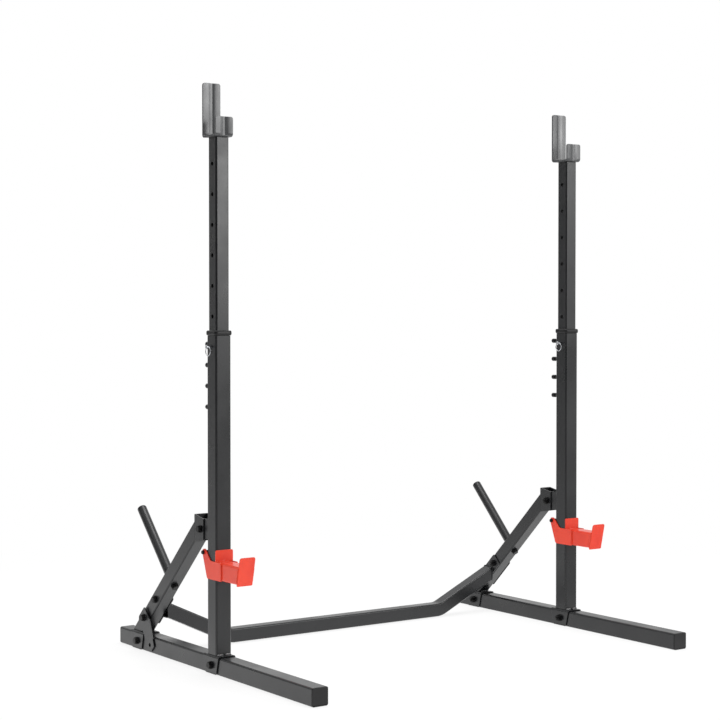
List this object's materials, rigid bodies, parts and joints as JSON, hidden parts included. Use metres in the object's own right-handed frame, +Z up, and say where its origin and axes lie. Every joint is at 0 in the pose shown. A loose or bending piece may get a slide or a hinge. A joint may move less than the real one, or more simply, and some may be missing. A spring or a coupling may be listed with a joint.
{
  "type": "squat rack",
  "caption": "Open squat rack: telescoping posts with bar cups, hook-on bar catches, braces and storage pegs on base beams joined by a low crossbar.",
  "frame": {"origin": "on the floor, at the middle of the footprint; the posts stand 22 mm ahead of it", "axes": "+X across the rack, from the left post to the right as seen from in front; -Y to the front, where the lifter stands; +Z up"},
  "size_m": [1.2375, 0.956, 1.4823],
  "materials": {
    "charcoal_powder_coat": "satin powder coat with a fine speckle",
    "grey_powder_coat": "satin powder coat, a lighter grey",
    "black_steel": "black oxide, semi-gloss",
    "black_plastic": "moulded, matte",
    "chrome": "polished",
    "red_paint": "gloss enamel"
  },
  "bodies": {
    "root": {"base_beam_left": "charcoal_powder_coat", "post_saddle_left": "charcoal_powder_coat", "brace_saddle_left": "charcoal_powder_coat", "lower_post_left": "charcoal_powder_coat", "brace_left": "charcoal_powder_coat", "brace_head_left": "charcoal_powder_coat", "brace_bracket_left": "charcoal_powder_coat", "crossbar_plate_left": "charcoal_powder_coat", "gusset_left": "charcoal_powder_coat", "storage_peg_left": "charcoal_powder_coat", "post_saddle_bolt_left": "black_steel", "brace_saddle_bolt_left": "black_steel", "pivot_bolt_left": "black_steel", "upper_crossbar_bolt_left": "black_steel", "lower_crossbar_bolt_left": "black_steel", "peg_bolt_left": "black_steel", "front_cap_left": "black_plastic", "rear_cap_left": "black_plastic", "post_collar_left": "black_plastic", "peg_cap_left": "black_plastic", "base_beam_right": "charcoal_powder_coat", "post_saddle_right": "charcoal_powder_coat", "brace_saddle_right": "charcoal_powder_coat", "lower_post_right": "charcoal_powder_coat", "brace_right": "charcoal_powder_coat", "brace_head_right": "charcoal_powder_coat", "brace_bracket_right": "charcoal_powder_coat", "crossbar_plate_right": "charcoal_powder_coat", "gusset_right": "charcoal_powder_coat", "storage_peg_right": "charcoal_powder_coat", "post_saddle_bolt_right": "black_steel", "brace_saddle_bolt_right": "black_steel", "pivot_bolt_right": "black_steel", "upper_crossbar_bolt_right": "black_steel", "lower_crossbar_bolt_right": "black_steel", "peg_bolt_right": "black_steel", "front_cap_right": "black_plastic", "rear_cap_right": "black_plastic", "post_collar_right": "black_plastic", "peg_cap_right": "black_plastic", "crossbar": "charcoal_powder_coat"},
    "upper_post_left": {"upper_post_left": "charcoal_powder_coat", "j_cup_left": "grey_powder_coat"},
    "locking_pin_left": {"locking_pin_left": "chrome"},
    "pin_ring_left": {"pin_ring_left": "chrome"},
    "catch_left": {"catch_hook_left": "red_paint", "catch_arm_left": "red_paint", "catch_lip_left": "red_paint", "catch_cross_pin_left": "black_steel"},
    "upper_post_right": {"upper_post_right": "charcoal_powder_coat", "j_cup_right": "grey_powder_coat"},
    "locking_pin_right": {"locking_pin_right": "chrome"},
    "pin_ring_right": {"pin_ring_right": "chrome"},
    "catch_right": {"catch_hook_right": "red_paint", "catch_arm_right": "red_paint", "catch_lip_right": "red_paint", "catch_cross_pin_right": "black_steel"}
  },
  "joints": [
    {"name": "upper_post_slide_left", "type": "slide", "parent": "root", "child": "upper_post_left", "axis": [0, 0, 1], "range_m": [-0.4572, 0]},
    {"name": "locking_pin_slide_left", "type": "slide", "parent": "root", "child": "locking_pin_left", "axis": [-1, 0, 0], "range_m": [0, 0.05]},
    {"name": "pin_ring_hinge_left", "type": "hinge", "parent": "locking_pin_left", "child": "pin_ring_left", "pos_m": [-0.61475, -0.022, 0.8198], "axis": [0, 1, 0], "range_deg": [-15, 195]},
    {"name": "catch_lift_left", "type": "slide", "parent": "root", "child": "catch_left", "axis": [0, 0, 1], "range_m": [0, 0.024]},
    {"name": "upper_post_slide_right", "type": "slide", "parent": "root", "child": "upper_post_right", "axis": [0, 0, 1], "range_m": [-0.4572, 0]},
    {"name": "locking_pin_slide_right", "type": "slide", "parent": "root", "child": "locking_pin_right", "axis": [-1, 0, 0], "range_m": [0, 0.05]},
    {"name": "pin_ring_hinge_right", "type": "hinge", "parent": "locking_pin_right", "child": "pin_ring_right", "pos_m": [0.55125, -0.022, 0.8198], "axis": [0, 1, 0], "range_deg": [-15, 195]},
    {"name": "catch_lift_right", "type": "slide", "parent": "root", "child": "catch_right", "axis": [0, 0, 1], "range_m": [0, 0.024]}
  ]
}
